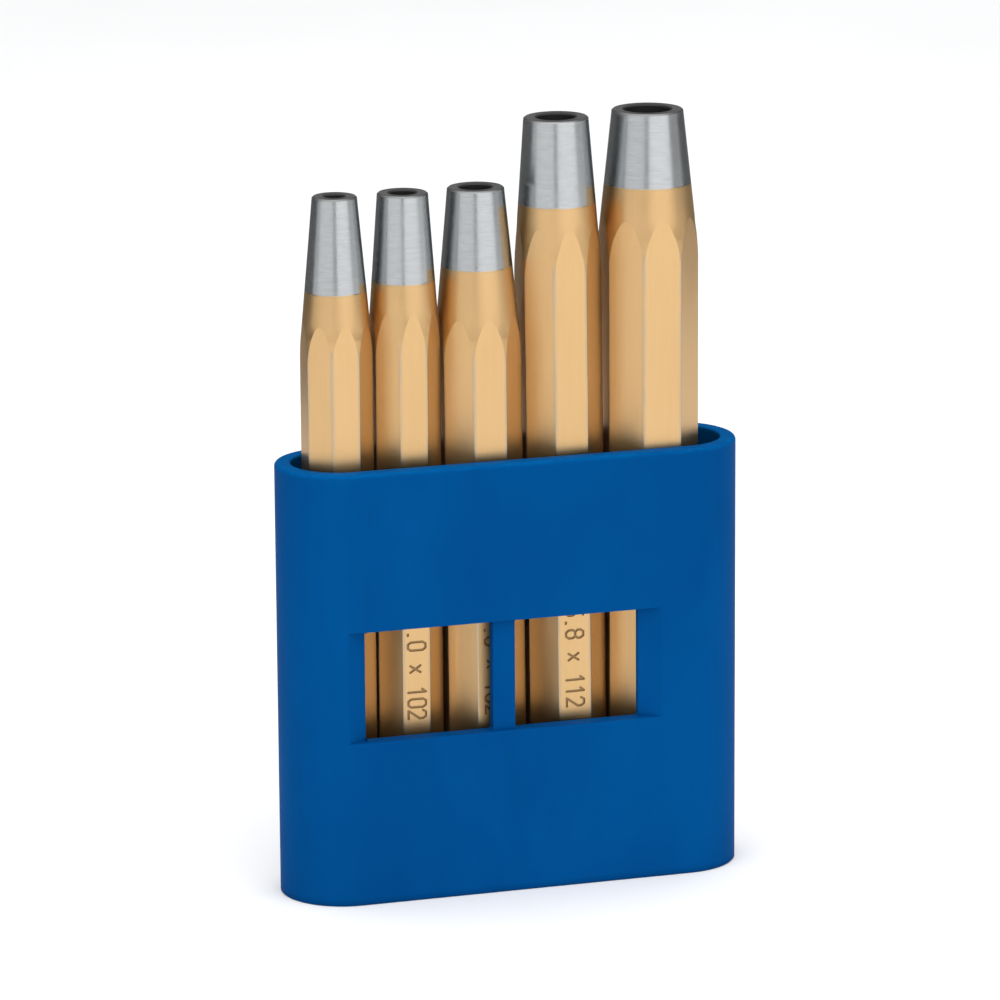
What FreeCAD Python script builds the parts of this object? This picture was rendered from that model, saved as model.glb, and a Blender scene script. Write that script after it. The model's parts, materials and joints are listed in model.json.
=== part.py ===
import FreeCAD, Part

import math
import os

# Set of five octagonal hand punches with hollow tips, standing tip up in one moulded plastic holder.
#
# Millimetres. The origin is at the middle of the holder's base, on the surface it stands on.
# +X runs along the row from the smallest punch to the largest, -Y is the holder's windowed front
# and +Z is up.

Vector = FreeCAD.Vector

# ---------------------------------------------------------------- holder: driving dimensions
HOLDER_LENGTH = 71.0
HOLDER_DEPTH = 19.2
HOLDER_HEIGHT = 65.8
WALL = 2.4
FLOOR = 3.0
BASE_BEVEL = 0.2
RIM_OUTER_RADIUS = 0.6
RIM_INNER_RADIUS = 0.3

WINDOW_WIDTH = 19.5
WINDOW_BOTTOM = 25.0
WINDOW_TOP = 41.9
WINDOW_CORNER_RADIUS = 0.4
MULLION_WIDTH = 3.4
WINDOWS_MIDDLE_X = -3.4
MULLION_SINK = 0.7      # how far the bar between the windows lies behind the front face
RAMP_DEPTH = 1.6        # how deep the sloping ends of the recess reach into the wall
RAMP_LENGTH = 3.2

# ---------------------------------------------------------------- punches: driving dimensions
SHOULDER_REACH = 2.5    # how far the rounded shoulder between cone and bar runs to either side
CORNER_RADIUS = 0.3     # softened long edges of the octagon
HEAD_CHAMFER_HEIGHT = 2.2
HEAD_CHAMFER_WIDTH = 1.1
BORE_LIP = 0.2          # countersink at the bore's mouth and bevel of the tip's outer edge
DRILL_POINT_ANGLE = 118.0
STANDING_GAP = 0.05     # left between each punch and the floor that it stands on

# Each punch: across its flats, full length, tip diameter, length of the cone from the tip down to the
# octagon's corners, bore diameter and depth, its X halfway up the holder and its lean to the left in
# degrees.
PUNCHES = {
    "punch_3": dict(flats=10.0, length=102.5, tip=6.6, cone=23.2, bore=3.0, depth=12.0, x=-26.1, lean=0.0),
    "punch_4": dict(flats=10.0, length=102.4, tip=7.5, cone=23.2, bore=4.0, depth=14.0, x=-15.75, lean=0.0),
    "punch_5": dict(flats=12.0, length=102.5, tip=8.4, cone=24.3, bore=4.8, depth=16.0, x=-4.05, lean=0.4),
    "punch_6": dict(flats=12.0, length=112.2, tip=9.6, cone=22.6, bore=5.8, depth=18.0, x=8.6, lean=0.5),
    "punch_8": dict(flats=14.0, length=112.6, tip=10.6, cone=21.2, bore=7.0, depth=20.0, x=22.1, lean=0.0),
}

# ---------------------------------------------------------------- stamped numbers
GLYPH_HEIGHT = 2.7
GLYPH_WIDTH = 1.25
GLYPH_PITCH = 1.75
STROKE_WIDTH = 0.38
STROKE_DEPTH = 0.2
STAMP_TOP = 42.0        # height above the base where the number starts, reading downwards

# Strokes of each glyph on a grid 4 wide and 6 high, as lists of joined points.
GLYPHS = {
    "0": [[(1, 0), (3, 0), (4, 1), (4, 5), (3, 6), (1, 6), (0, 5), (0, 1), (1, 0)]],
    "1": [[(0.8, 4.8), (2.2, 6), (2.2, 0)]],
    "2": [[(0, 5), (1, 6), (3, 6), (4, 5), (4, 3.8), (0, 0), (4, 0)]],
    "3": [[(0, 5), (1, 6), (3, 6), (4, 5), (4, 4), (3, 3.2), (4, 2.4), (4, 1), (3, 0), (1, 0), (0, 1)]],
    "4": [[(3, 0), (3, 6), (0, 2), (4, 2)]],
    "5": [[(4, 6), (0, 6), (0, 3.5), (3, 3.5), (4, 2.5), (4, 1), (3, 0), (1, 0), (0, 1)]],
    "7": [[(0, 6), (4, 6), (1.4, 0)]],
    "8": [[(1, 3.2), (0, 4), (0, 5), (1, 6), (3, 6), (4, 5), (4, 4), (3, 3.2), (1, 3.2)],
          [(1, 3.2), (0, 2.4), (0, 1), (1, 0), (3, 0), (4, 1), (4, 2.4), (3, 3.2)]],
    ".": [[(1.6, 0), (2.2, 0)]],
    "x": [[(0.4, 0.8), (3.6, 4.2)], [(0.4, 4.2), (3.6, 0.8)]],
    " ": [],
}


def stadium(length, depth, height, z):
    """Upright prism with two flat sides and two full-round ends, standing at height z."""
    reach = length / 2 - depth / 2
    body = Part.makeBox(2 * reach, depth, height, Vector(-reach, -depth / 2, z))
    ends = [Part.makeCylinder(depth / 2, height, Vector(x, 0, z)) for x in (-reach, reach)]
    return body.fuse(ends).removeSplitter()


def level_edges(shape, z):
    """The edges that lie wholly at height z."""
    return [e for e in shape.Edges if all(abs(v.Point.z - z) < 1e-6 for v in e.Vertexes)
            and abs(e.BoundBox.ZLength) < 1e-4]


def prism(points, height, z):
    """Upright prism over a polygon of (x, y) points."""
    corners = [Vector(x, y, z) for x, y in points]
    return Part.Face(Part.makePolygon(corners + corners[:1])).extrude(Vector(0, 0, height))


def window(left):
    """The cutter of one window, with softened corners, right through the front wall."""
    height = WINDOW_TOP - WINDOW_BOTTOM
    front = -HOLDER_DEPTH / 2
    cutter = Part.makeBox(WINDOW_WIDTH, 3 * WALL, height, Vector(left, front - WALL, WINDOW_BOTTOM))
    through = [e for e in cutter.Edges if abs(e.BoundBox.YLength - 3 * WALL) < 1e-3]
    return cutter.makeFillet(WINDOW_CORNER_RADIUS, through)


def holder():
    """Stadium-shaped cup with two windows in its front wall, in a shallow recess with sloping ends."""
    outer = stadium(HOLDER_LENGTH, HOLDER_DEPTH, HOLDER_HEIGHT, 0)
    outer = outer.makeChamfer(BASE_BEVEL, level_edges(outer, 0))
    outer = outer.makeFillet(RIM_OUTER_RADIUS, level_edges(outer, HOLDER_HEIGHT))
    pocket = stadium(HOLDER_LENGTH - 2 * WALL, HOLDER_DEPTH - 2 * WALL, HOLDER_HEIGHT, FLOOR)
    shell = outer.cut(pocket)
    inner_rim = [e for e in level_edges(shell, HOLDER_HEIGHT)
                 if e.BoundBox.YMax < HOLDER_DEPTH / 2 - WALL + 1e-3
                 and e.BoundBox.YMin > -HOLDER_DEPTH / 2 + WALL - 1e-3]
    shell = shell.makeFillet(RIM_INNER_RADIUS, inner_rim)

    front = -HOLDER_DEPTH / 2
    outside = front - 1.0
    half_group = WINDOW_WIDTH + MULLION_WIDTH / 2
    left = WINDOWS_MIDDLE_X - half_group
    right = WINDOWS_MIDDLE_X + half_group
    height = WINDOW_TOP - WINDOW_BOTTOM
    slope = RAMP_DEPTH / RAMP_LENGTH
    run_out = (front - outside) / slope
    left_ramp = [(left, front + RAMP_DEPTH), (left - RAMP_LENGTH - run_out, outside), (left, outside)]
    right_ramp = [(right, front + RAMP_DEPTH), (right, outside), (right + RAMP_LENGTH + run_out, outside)]
    sunk_bar = [(left, outside), (right, outside), (right, front + MULLION_SINK), (left, front + MULLION_SINK)]
    cutters = [prism(outline, height, WINDOW_BOTTOM) for outline in (left_ramp, right_ramp, sunk_bar)]
    cutters.append(window(left))
    cutters.append(window(right - WINDOW_WIDTH))
    return shell.cut(cutters).removeSplitter()


def octagon_bar(flats, length):
    """Octagonal bar with one flat facing -Y and its long edges softened."""
    corner = flats / 2 / math.cos(math.radians(22.5))
    angles = [math.radians(22.5 + 45 * k) for k in range(8)]
    bar = prism([(corner * math.cos(a), corner * math.sin(a)) for a in angles], length, 0)
    upright = [e for e in bar.Edges if e.BoundBox.ZLength > length - 1e-3]
    return bar.makeFillet(CORNER_RADIUS, upright)


def turned_shape(flats, length, tip, cone):
    """The turned shape that trims the bar: chamfered head, rounded shoulder, cone and bevelled tip."""
    corner = flats / 2 / math.cos(math.radians(22.5))
    head = flats / 2 - HEAD_CHAMFER_WIDTH
    chamfer_top = HEAD_CHAMFER_HEIGHT * (corner - head) / HEAD_CHAMFER_WIDTH
    slope = (corner - tip / 2) / cone

    taper = math.atan(slope)
    radius = SHOULDER_REACH / math.tan(taper / 2)
    centre = Vector(corner - radius, 0, length - cone - SHOULDER_REACH)
    start, middle, end = [centre + Vector(radius * math.cos(a), 0, radius * math.sin(a))
                          for a in (0, taper / 2, taper)]

    below = [Vector(0, 0, 0), Vector(head, 0, 0), Vector(corner, 0, chamfer_top), start]
    above = [end, Vector(tip / 2 + slope * BORE_LIP, 0, length - BORE_LIP),
             Vector(tip / 2 - BORE_LIP, 0, length), Vector(0, 0, length)]
    edges = Part.makePolygon(below).Edges
    edges.append(Part.Arc(start, middle, end).toShape())
    edges += Part.makePolygon(above + below[:1]).Edges
    return Part.Face(Part.Wire(edges)).revolve(Vector(0, 0, 0), Vector(0, 0, 1), 360)


def blind_bore(length, bore, depth):
    """Drilled hole down from the tip, with its drill point and a small countersink."""
    r = bore / 2
    point = r / math.tan(math.radians(DRILL_POINT_ANGLE / 2))
    hole = Part.makeCylinder(r, depth + 1, Vector(0, 0, length - depth))
    drill_point = Part.makeCone(0, r, point, Vector(0, 0, length - depth - point))
    lip = Part.makeCone(r, r + 2 * BORE_LIP, 2 * BORE_LIP, Vector(0, 0, length - BORE_LIP))
    return [hole, drill_point, lip]


def stroke(start, end, surface):
    """One straight stroke with round ends, sunk into a flat that faces -Y at y = surface."""
    dx, dz = end[0] - start[0], end[1] - start[1]
    run = math.hypot(dx, dz)
    outside = surface - 1.0
    reach = STROKE_DEPTH + 1.0
    bar = Part.makeBox(run, reach, STROKE_WIDTH, Vector(0, 0, -STROKE_WIDTH / 2))
    bar.rotate(Vector(0, 0, 0), Vector(0, 1, 0), -math.degrees(math.atan2(dz, dx)))
    bar.translate(Vector(start[0], outside, start[1]))
    ends = [Part.makeCylinder(STROKE_WIDTH / 2, reach, Vector(x, outside, z), Vector(0, 1, 0))
            for x, z in (start, end)]
    return [bar] + ends


def stamp(text, surface, top):
    """The cutters of a number that reads downwards, its digits' tops towards +X."""
    tools = []
    for place, letter in enumerate(text):
        for line in GLYPHS[letter]:
            path = [((v / 6 - 0.5) * GLYPH_HEIGHT, top - place * GLYPH_PITCH - u / 4 * GLYPH_WIDTH)
                    for u, v in line]
            for start, end in zip(path, path[1:]):
                tools += stroke(start, end, surface)
    return tools


def punch(flats, length, tip, cone, bore, depth, x, lean):
    """One punch with its bore and stamped number, standing in its place on the holder's floor."""
    body = octagon_bar(flats, length).common(turned_shape(flats, length, tip, cone))
    body = body.cut(blind_bore(length, bore, depth))
    text = "%.1f x %.0f" % (bore, length)
    body = body.cut(stamp(text, -flats / 2, STAMP_TOP - FLOOR))

    # The punch turns about its place halfway up the holder, then drops onto the floor.
    half_way = HOLDER_HEIGHT / 2
    body.translate(Vector(x, 0, FLOOR))
    body.rotate(Vector(x, 0, half_way), Vector(0, 1, 0), -lean)
    body.translate(Vector(0, 0, FLOOR + STANDING_GAP - body.optimalBoundingBox().ZMin))
    return body


def main():
    os.makedirs("parts", exist_ok=True)
    shapes = {"holder": holder()}
    for name, sizes in PUNCHES.items():
        shapes[name] = punch(**sizes)
    for name, shape in shapes.items():
        solid = shape.Solids[0]
        assert shape.isValid() and len(shape.Solids) == 1, name
        solid.exportStep("parts/%s.step" % name)
        box = solid.BoundBox
        print("%-9s x %7.2f %7.2f  y %6.2f %6.2f  z %6.2f %6.2f  volume %9.1f" % (
            name, box.XMin, box.XMax, box.YMin, box.YMax, box.ZMin, box.ZMax, solid.Volume))


main()
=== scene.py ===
import json
import math
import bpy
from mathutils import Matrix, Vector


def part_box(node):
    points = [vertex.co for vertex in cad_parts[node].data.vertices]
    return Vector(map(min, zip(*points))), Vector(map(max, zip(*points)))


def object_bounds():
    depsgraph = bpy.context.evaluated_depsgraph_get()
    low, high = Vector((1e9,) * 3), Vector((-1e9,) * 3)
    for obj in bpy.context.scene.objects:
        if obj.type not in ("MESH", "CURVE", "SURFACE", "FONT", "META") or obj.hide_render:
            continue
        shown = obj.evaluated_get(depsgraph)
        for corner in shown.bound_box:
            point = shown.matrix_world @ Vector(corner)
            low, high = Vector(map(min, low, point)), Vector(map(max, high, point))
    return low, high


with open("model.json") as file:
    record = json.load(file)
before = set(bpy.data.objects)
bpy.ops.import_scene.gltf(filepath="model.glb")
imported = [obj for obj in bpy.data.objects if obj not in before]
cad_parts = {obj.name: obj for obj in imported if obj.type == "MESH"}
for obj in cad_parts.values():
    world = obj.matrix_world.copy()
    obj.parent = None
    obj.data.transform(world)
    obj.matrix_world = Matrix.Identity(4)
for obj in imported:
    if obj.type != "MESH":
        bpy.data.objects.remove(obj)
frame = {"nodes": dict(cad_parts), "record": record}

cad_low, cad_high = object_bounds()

from types import SimpleNamespace

import bmesh
import bpy
from mathutils import Matrix, Vector

# Looks of a set of five octagonal hand punches in a moulded plastic holder.
# Metres, in the CAD model's frame: +X along the row from small to large, -Y the windowed front, +Z up.

PUNCHES = ("punch_3", "punch_4", "punch_5", "punch_6", "punch_8")

# Bare ground steel from each tip's end face down to the line where the gold lacquer starts.
BARE_LENGTH = {
    "punch_3": 0.0140,
    "punch_4": 0.0130,
    "punch_5": 0.0117,
    "punch_6": 0.0128,
    "punch_8": 0.0110,
}

MM = 0.001

# Colours. Where there are two, the surface drifts between them.
GOLD = ((0.590, 0.380, 0.176, 1), (0.635, 0.414, 0.200, 1))
GOLD_SPECK = (0.24, 0.15, 0.07, 1)
GOLD_LIP = (0.50, 0.35, 0.19, 1)
GOLD_RUBBED = (0.40, 0.34, 0.26, 1)
# Painted shade in the stamped number's strokes.
GOLD_SUNK_PAINTED_SHADE = (0.115, 0.070, 0.032, 1)
STEEL = ((0.420, 0.434, 0.440, 1), (0.475, 0.490, 0.497, 1))
STEEL_MOTTLE = (0.30, 0.30, 0.305, 1)
STEEL_SPECK = (0.16, 0.16, 0.16, 1)
STEEL_FACE = (0.165, 0.165, 0.165, 1)
# Painted shade inside the bore.
BORE_PAINTED_SHADE = (0.050, 0.049, 0.048, 1)
BLUE = ((0.0, 0.056, 0.207, 1), (0.0, 0.067, 0.240, 1))
# Painted highlight along the holder's top rim.
BLUE_RIM_PAINTED_HIGHLIGHT = (0.0, 0.115, 0.34, 1)
# Painted shade along the holder's foot.
BLUE_FOOT_PAINTED_SHADE = (0.0, 0.024, 0.095, 1)

# The stamped number on each front flat lies below this height and within this half width.
NUMBER_TOP = 45.0 * MM
NUMBER_HALF_WIDTH = 1.72 * MM


class Graph:
    """The nodes of one material, so that a material reads as a short list of formulas."""

    def __init__(self, name):
        self.material = bpy.data.materials.new(name)
        self.material.use_nodes = True
        self.tree = self.material.node_tree
        self.tree.nodes.clear()
        self.output = self.node("ShaderNodeOutputMaterial")

    def node(self, kind, **settings):
        made = self.tree.nodes.new(kind)
        for key, value in settings.items():
            setattr(made, key, value)
        return made

    def feed(self, socket, value):
        """A link where value is another node's output, a plain setting where it isn't."""
        if isinstance(value, bpy.types.NodeSocket):
            self.tree.links.new(value, socket)
        elif value is not None:
            socket.default_value = value

    def math(self, operation, a, b=None, c=None):
        made = self.node("ShaderNodeMath", operation=operation)
        for socket, value in zip(made.inputs, (a, b, c)):
            self.feed(socket, value)
        return made.outputs[0]

    def times(self, a, b):
        return self.math("MULTIPLY", a, b)

    def vector(self, operation, a, b=None):
        made = self.node("ShaderNodeVectorMath", operation=operation)
        self.feed(made.inputs[0], a)
        self.feed(made.inputs[1], b)
        return made.outputs["Value" if operation in ("DOT_PRODUCT", "LENGTH") else "Vector"]

    def place(self):
        """The point's place in the CAD frame at rest, which stays with the piece as it moves."""
        return self.node("ShaderNodeTexCoord").outputs["Object"]

    def level(self, place):
        """The point's height above the surface that the holder stands on."""
        return self.vector("DOT_PRODUCT", place, (0.0, 0.0, 1.0))

    def stretched(self, place, x, y, z):
        """The place with each direction scaled, so that noise comes out drawn along the small ones."""
        return self.vector("MULTIPLY", place, (x, y, z))

    def noise(self, place, scale, detail=3.0, roughness=0.5, distortion=0.0):
        made = self.node("ShaderNodeTexNoise")
        self.feed(made.inputs["Vector"], place)
        self.feed(made.inputs["Scale"], scale)
        self.feed(made.inputs["Detail"], detail)
        self.feed(made.inputs["Roughness"], roughness)
        self.feed(made.inputs["Distortion"], distortion)
        return made.outputs["Fac"]

    def between(self, value, low, high, to_low=0.0, to_high=1.0):
        """value taken smoothly from the range low to high into the range to_low to to_high."""
        made = self.node("ShaderNodeMapRange", interpolation_type="SMOOTHSTEP")
        for socket, item in zip(made.inputs, (value, low, high, to_low, to_high)):
            self.feed(socket, item)
        return made.outputs["Result"]

    def blend(self, share, a, b):
        """The colour a where share is 0 and b where it is 1."""
        made = self.node("ShaderNodeMix", data_type="RGBA")
        self.feed(made.inputs[0], share)
        self.feed(made.inputs[6], a)
        self.feed(made.inputs[7], b)
        return made.outputs[2]

    def mix(self, share, a, b):
        """The number a where share is 0 and b where it is 1."""
        made = self.node("ShaderNodeMix", data_type="FLOAT")
        self.feed(made.inputs[0], share)
        self.feed(made.inputs[2], a)
        self.feed(made.inputs[3], b)
        return made.outputs[0]

    def bump(self, height, strength, distance, under=None):
        made = self.node("ShaderNodeBump")
        self.feed(made.inputs["Height"], height)
        self.feed(made.inputs["Strength"], strength)
        self.feed(made.inputs["Distance"], distance)
        self.feed(made.inputs["Normal"], under)
        return made.outputs["Normal"]

    def principled(self, **sockets):
        shader = self.node("ShaderNodeBsdfPrincipled")
        for name, value in sockets.items():
            self.feed(shader.inputs[name.replace("_", " ")], value)
        self.tree.links.new(shader.outputs[0], self.output.inputs["Surface"])
        return shader


# ---------------------------------------------------------------- punches
def mount(name):
    """The named mount in the object's record."""
    return next(m for m in frame["record"]["mounts"] if m["name"] == name)


def measures(g, node):
    """Where a point of the punch lies along, across and around its axis, and the sizes to compare with."""
    bore = mount(node + "_bore")
    centre, axis = Vector(bore["pos_m"]), Vector(bore["axis"])
    low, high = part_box(node)
    m = SimpleNamespace(place=g.place())
    offset = g.vector("SUBTRACT", m.place, centre)
    m.along = g.vector("DOT_PRODUCT", offset, axis)
    m.across = g.vector("DOT_PRODUCT", offset, (axis.z, 0.0, -axis.x))
    m.depth = g.vector("DOT_PRODUCT", offset, (0.0, 1.0, 0.0))
    m.radius = g.math("SQRT", g.math("ADD", g.times(m.across, m.across), g.times(m.depth, m.depth)))
    m.half_flats = (high.y - low.y) / 2
    m.bore_radius = bore["dims"]["r_mm"] * MM
    m.bore_floor = -bore["dims"]["length_mm"] * MM / 2 - m.bore_radius
    m.tip = (high.z - centre.z) / axis.z
    m.line = m.tip - BARE_LENGTH[node]
    return m


def rubbed_edges(g, m):
    """The octagon's long edges, where the lacquer has rubbed thin in patches."""
    corner = m.half_flats / math.cos(math.radians(22.5))
    reach = None
    for degrees in (22.5, 67.5, 112.5, 157.5):
        a = math.radians(degrees)
        part = g.math("ADD", g.times(m.across, math.cos(a)), g.times(m.depth, math.sin(a)))
        part = g.math("ABSOLUTE", part)
        reach = part if reach is None else g.math("MAXIMUM", reach, part)
    rubbed = g.between(reach, corner - 0.16 * MM, corner - 0.06 * MM)
    patchy = g.between(g.noise(g.stretched(m.place, 1.0, 1.0, 0.18), 1300.0, 3.0), 0.36, 0.56)
    return g.times(rubbed, g.mix(0.45, 1.0, patchy))


def number_strokes_painted_shade(g, m):
    """The sunk strokes of the stamped number, darkened with painted shade.

    Known fault: depth has no rear bound here, so the same strip of the back flat comes out dark too.
    """
    sunk = g.between(m.depth, 0.03 * MM - m.half_flats, 0.12 * MM - m.half_flats)
    aside = g.math("ABSOLUTE", m.across)
    sunk = g.times(sunk, g.between(aside, NUMBER_HALF_WIDTH, NUMBER_HALF_WIDTH - 0.12 * MM))
    return g.times(sunk, g.between(g.level(m.place), NUMBER_TOP, NUMBER_TOP - 1.0 * MM))


def lacquer_colour(g, m, streaks, clouds, specks, lip):
    """Gold with long faint rolling marks, soft clouds, a few specks of dust and painted shade in the
    stamped number's strokes.
    """
    tone = g.mix(0.7, streaks, clouds)
    gold = g.blend(g.between(tone, 0.30, 0.70), *GOLD)
    gold = g.blend(g.times(specks, 0.35), gold, GOLD_SPECK)
    gold = g.blend(g.times(lip, 0.35), gold, GOLD_LIP)
    gold = g.blend(g.times(rubbed_edges(g, m), 0.6), gold, GOLD_RUBBED)
    # Painted shade: the stamped number's strokes are darkened in the colour.
    return g.blend(g.times(number_strokes_painted_shade(g, m), 0.75), gold, GOLD_SUNK_PAINTED_SHADE)


def steel_colour(g, grind, mottle, specks, on_face):
    """Ground steel with a faint mottle and small pits, darker on the end face."""
    bright = g.blend(g.between(grind, 0.3, 0.7), *STEEL)
    bright = g.blend(g.between(mottle, 0.58, 0.75, 0.0, 0.12), bright, STEEL_MOTTLE)
    bright = g.blend(g.times(specks, 0.6), bright, STEEL_SPECK)
    return g.blend(on_face, bright, STEEL_FACE)


def lacquered_steel(node):
    """Gold lacquer on the shank and the foot of the cone, bare ground steel above it, a bore darkened with
    painted shade.
    """
    g = Graph("lacquered_" + node)
    m = measures(g, node)

    # The lacquer ends in a clean line with a slightly uneven edge.
    wobble = g.times(g.math("SUBTRACT", g.noise(m.place, 900.0, 2.0), 0.5), 0.35 * MM)
    height = g.math("ADD", m.along, wobble)
    steel = g.between(height, m.line - 0.08 * MM, m.line + 0.08 * MM)
    coat = g.math("SUBTRACT", 1.0, steel)
    lip = g.times(g.between(height, m.line - 0.5 * MM, m.line), coat)

    streaks = g.noise(g.stretched(m.place, 1.0, 1.0, 0.03), 2600.0, 4.0, 0.6)
    clouds = g.noise(g.stretched(m.place, 1.0, 1.0, 0.35), 160.0, 3.0)
    specks = g.between(g.noise(m.place, 5200.0, 1.0), 0.74, 0.80)
    mottle = g.noise(m.place, 700.0, 4.0, 0.6)

    # Fine grinding rings round the cone and on the end face.
    rings = g.noise(g.stretched(m.place, 0.05, 0.05, 1.0), 7000.0, 4.0, 0.6)
    face_rings = g.noise(m.radius, 9000.0, 3.0, 0.6)
    on_face = g.between(m.along, m.tip - 0.28 * MM, m.tip - 0.18 * MM)
    grind = g.mix(on_face, rings, face_rings)

    # Inside the bore, down to its drill point, the steel is darkened with painted shade.
    bore_painted_shade = g.between(m.radius, m.bore_radius + 0.40 * MM, m.bore_radius + 0.15 * MM)
    bore_painted_shade = g.times(bore_painted_shade, g.between(m.along, m.bore_floor - 1.0 * MM, m.bore_floor))

    gold = lacquer_colour(g, m, streaks, clouds, specks, lip)
    bright = steel_colour(g, grind, mottle, specks, on_face)
    grain = g.math("ADD", g.times(streaks, 0.6), g.times(g.noise(m.place, 3500.0, 2.0), 0.4))
    relief = g.mix(steel, grain, grind)
    gold_rough = g.between(clouds, 0.3, 0.7, 0.33, 0.39)
    steel_rough = g.mix(on_face, g.between(mottle, 0.3, 0.7, 0.21, 0.27), 0.42)
    g.principled(
        Base_Color=g.blend(bore_painted_shade, g.blend(steel, gold, bright), BORE_PAINTED_SHADE),
        Metallic=1.0,
        Roughness=g.mix(bore_painted_shade, g.mix(steel, gold_rough, steel_rough), 0.7),
        Anisotropic=0.3,
        Normal=g.bump(relief, 0.10, 0.01 * MM, g.bump(coat, 0.8, 0.03 * MM)),
    )
    return g.material


# ---------------------------------------------------------------- holder
def holder_plastic():
    """Blue moulded plastic: a fine even moulded texture, soft flow clouds, a patchy painted highlight
    along the top rim and painted shade along the foot.
    """
    low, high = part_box("holder")
    g = Graph("blue_moulded_plastic")
    place = g.place()
    height = g.level(place)
    flow = g.noise(g.stretched(place, 1.0, 1.0, 0.45), 55.0, 3.0, 0.55, 0.4)
    fine = g.noise(place, 2400.0, 3.0, 0.55)
    scuffs = g.noise(g.stretched(place, 0.25, 1.0, 1.0), 1500.0, 4.0, 0.7, 0.6)

    blue = g.blend(g.between(flow, 0.30, 0.70), *BLUE)
    # Painted highlight: a paler band along the top rim, broken up by the scuff noise.
    rim = g.between(height, high.z - 0.9 * MM, high.z - 0.1 * MM)
    rim_painted_highlight = g.times(rim, g.between(scuffs, 0.35, 0.65, 0.25, 0.9))
    blue = g.blend(g.times(rim_painted_highlight, 0.5), blue, BLUE_RIM_PAINTED_HIGHLIGHT)
    # Painted shade: a darker band along the foot where the holder meets the floor.
    foot = g.between(height, low.z + 1.2 * MM, low.z + 0.1 * MM)
    blue = g.blend(g.times(foot, 0.45), blue, BLUE_FOOT_PAINTED_SHADE)
    rough = g.math("ADD", g.between(fine, 0.3, 0.7, 0.44, 0.54), g.times(scuffs, 0.06))
    normal = g.bump(fine, 0.22, 0.03 * MM, g.bump(flow, 0.25, 0.25 * MM))
    g.principled(Base_Color=blue, Metallic=0.0, Roughness=rough, Specular_IOR_Level=0.01, Normal=normal)
    return g.material


# ---------------------------------------------------------------- studio
def floor_material():
    g = Graph("pale_studio_floor")
    place = g.place()
    shade = g.between(g.noise(place, 6.0, 2.0), 0.3, 0.7)
    colour = g.blend(shade, (0.86, 0.86, 0.86, 1), (0.89, 0.89, 0.89, 1))
    g.principled(Base_Color=colour, Roughness=0.75)
    return g.material


def flag_material(name):
    """Black felt."""
    g = Graph(name)
    weave = g.noise(g.place(), 400.0, 2.0)
    colour = g.blend(weave, (0.10, 0.10, 0.10, 1), (0.14, 0.14, 0.14, 1))
    g.principled(Base_Color=colour, Roughness=0.9)
    return g.material


def floor():
    """A wide plain disc under the object."""
    mesh = bpy.data.meshes.new("studio_floor")
    shape = bmesh.new()
    bmesh.ops.create_circle(shape, cap_ends=True, radius=8.0, segments=96)
    shape.to_mesh(mesh)
    shape.free()
    disc = bpy.data.objects.new("studio_floor", mesh)
    bpy.context.scene.collection.objects.link(disc)
    mesh.materials.append(floor_material())
    disc.location.z = cad_low.z


def direction(azimuth, elevation):
    """Unit vector from the object outwards. Azimuth 0 is its front and 90 its +X end."""
    a, e = math.radians(azimuth), math.radians(elevation)
    return Vector((math.sin(a) * math.cos(e), -math.cos(a) * math.cos(e), math.sin(e)))


def soft_light(name, azimuth, elevation, distance, width, height, power):
    """A rectangular soft box that faces the object's middle and isn't seen by the camera."""
    lamp = bpy.data.lights.new(name, "AREA")
    lamp.shape = "RECTANGLE"
    lamp.size, lamp.size_y = width, height
    lamp.energy = power
    box = bpy.data.objects.new(name, lamp)
    bpy.context.scene.collection.objects.link(box)
    away = direction(azimuth, elevation)
    box.location = (cad_low + cad_high) / 2 + away * distance
    box.rotation_mode = "QUATERNION"
    box.rotation_quaternion = away.to_track_quat("Z", "Y")
    box.visible_camera = False


def flag(name, azimuth, turn, distance, low, high):
    """A curved dark card that only reflections see, so that the bright steel has dark edges."""
    mesh = bpy.data.meshes.new(name)
    shape = bmesh.new()
    steps = 12
    columns = []
    for k in range(steps + 1):
        spot = direction(azimuth + turn * (k / steps - 0.5), 0.0) * distance
        columns.append([shape.verts.new((spot.x, spot.y, z)) for z in (low, high)])
    for (a, b), (c, d) in zip(columns, columns[1:]):
        shape.faces.new((a, c, d, b))
    shape.to_mesh(mesh)
    shape.free()
    card = bpy.data.objects.new(name, mesh)
    bpy.context.scene.collection.objects.link(card)
    mesh.materials.append(flag_material(name))
    for ray in ("camera", "diffuse", "shadow", "transmission", "volume_scatter"):
        setattr(card, "visible_" + ray, False)


PANEL_DISTANCE = 0.85
PANEL_ELEVATION = 27.0
PANEL_HEIGHT = 0.9
FLAG_DISTANCE = 0.25
FLAG_TOP = 0.35


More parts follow.
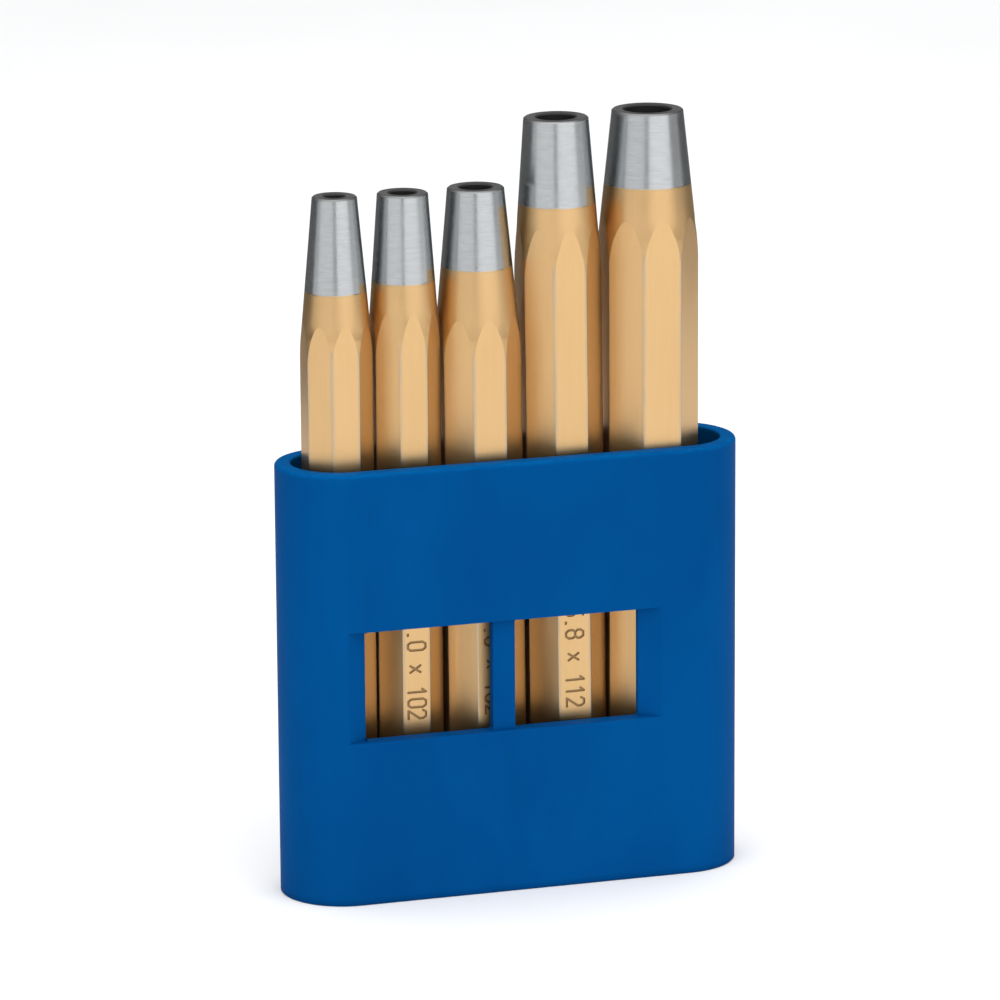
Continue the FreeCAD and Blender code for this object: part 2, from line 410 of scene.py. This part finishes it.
def lights():
    """One light overhead and two panels either side of the camera, with dark cards beside and between."""
    soft_light("overhead", 0.0, 89.0, 2.2, 3.0, 3.0, 74.0)
    soft_light("panel_left", -55.5, PANEL_ELEVATION, PANEL_DISTANCE, 1.13, PANEL_HEIGHT, 2.35)
    soft_light("panel_right", 19.0, PANEL_ELEVATION, PANEL_DISTANCE, 1.18, PANEL_HEIGHT, 3.8)
    flag("flag_left", -148.0, 86.0, FLAG_DISTANCE, 0.018, FLAG_TOP)
    flag("flag_middle", -18.0, 4.0, FLAG_DISTANCE, 0.045, FLAG_TOP)
    flag("flag_right", 126.0, 76.0, FLAG_DISTANCE, 0.045, FLAG_TOP)
    world = bpy.data.worlds.new("studio_air")
    world.use_nodes = True
    air = world.node_tree.nodes["Background"]
    air.inputs["Color"].default_value = (0.95, 0.97, 1.0, 1)
    air.inputs["Strength"].default_value = 0.28
    bpy.context.scene.world = world


CAMERA_AZIMUTH = -17.23
CAMERA_ELEVATION = 13.76
CAMERA_ROLL = -0.38
CAMERA_DISTANCE = 0.894
CAMERA_ASIDE = -0.00105     # how far right of the object's middle the camera aims
LENS = 216.0


def camera():
    """Long lens, aimed at the middle of the object."""
    away = direction(CAMERA_AZIMUTH, CAMERA_ELEVATION)
    a = math.radians(CAMERA_AZIMUTH)
    right = Vector((math.cos(a), math.sin(a), 0.0))
    up = away.cross(right)
    turn = Matrix((right, up, away)).transposed() @ Matrix.Rotation(math.radians(CAMERA_ROLL), 3, "Z")
    lens = bpy.data.cameras.new("camera")
    lens.lens = LENS
    lens.sensor_width = 36.0
    lens.clip_start, lens.clip_end = 0.01, 50.0
    eye = bpy.data.objects.new("camera", lens)
    bpy.context.scene.collection.objects.link(eye)
    eye.rotation_mode = "QUATERNION"
    eye.rotation_quaternion = turn.to_quaternion()
    eye.location = (cad_low + cad_high) / 2 + away * CAMERA_DISTANCE + turn.col[0] * CAMERA_ASIDE
    bpy.context.scene.camera = eye


def dress(node, material):
    """Give a piece its only material."""
    materials = frame["nodes"][node].data.materials
    materials.clear()
    materials.append(material)


def main():
    for node in PUNCHES:
        dress(node, lacquered_steel(node))
    dress("holder", holder_plastic())
    floor()
    lights()
    camera()
    bpy.context.scene.view_settings.view_transform = "Standard"


main()
